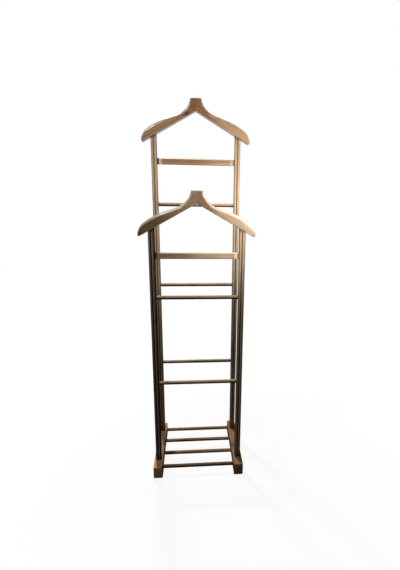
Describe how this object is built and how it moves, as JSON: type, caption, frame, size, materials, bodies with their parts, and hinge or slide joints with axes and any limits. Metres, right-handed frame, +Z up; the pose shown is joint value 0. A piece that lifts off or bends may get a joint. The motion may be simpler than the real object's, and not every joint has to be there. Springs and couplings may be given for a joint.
{
  "type": "double valet stand",
  "caption": "Free-standing wooden valet stand: a short and a tall frame topped with coat hangers, rails for trousers, and a shoe rack between two feet.",
  "frame": {"origin": "on the floor, midway between the two feet and midway between the front and rear frames, below the centre of the bounding box", "axes": "+Z up; +X to the right as seen from the front; +Y to the rear, so the shorter frame stands at -Y and the taller one at +Y"},
  "size_m": [0.45, 0.352, 1.578],
  "materials": {
    "hanger_wood": "satin varnish",
    "post_wood": "satin varnish",
    "rail_wood": "satin varnish",
    "foot_wood": "satin varnish",
    "pin_wood": "unfinished",
    "glide_plastic": "matt",
    "screw_steel": "zinc plated"
  },
  "bodies": {
    "root": {"left_foot": "foot_wood", "right_foot": "foot_wood", "front_left_post": "post_wood", "front_right_post": "post_wood", "rear_left_post": "post_wood", "rear_right_post": "post_wood", "front_left_hanger_arm": "hanger_wood", "front_right_hanger_arm": "hanger_wood", "rear_left_hanger_arm": "hanger_wood", "rear_right_hanger_arm": "hanger_wood", "front_neck_pin_upper": "pin_wood", "front_neck_pin_lower": "pin_wood", "rear_neck_pin_upper": "pin_wood", "rear_neck_pin_lower": "pin_wood", "front_left_post_pin": "pin_wood", "front_right_post_pin": "pin_wood", "rear_left_post_pin": "pin_wood", "rear_right_post_pin": "pin_wood", "front_left_foot_screw": "screw_steel", "front_right_foot_screw": "screw_steel", "rear_left_foot_screw": "screw_steel", "rear_right_foot_screw": "screw_steel", "front_left_glide": "glide_plastic", "front_right_glide": "glide_plastic", "rear_left_glide": "glide_plastic", "rear_right_glide": "glide_plastic", "front_flat_rail": "rail_wood", "rear_flat_rail": "rail_wood", "front_upper_round_rail": "rail_wood", "front_lower_round_rail": "rail_wood", "rear_upper_round_rail": "rail_wood", "rear_middle_round_rail": "rail_wood", "rear_lower_round_rail": "rail_wood", "shoe_rack_rail_1": "rail_wood", "shoe_rack_rail_2": "rail_wood", "shoe_rack_rail_3": "rail_wood", "shoe_rack_rail_4": "rail_wood"}
  },
  "joints": []
}
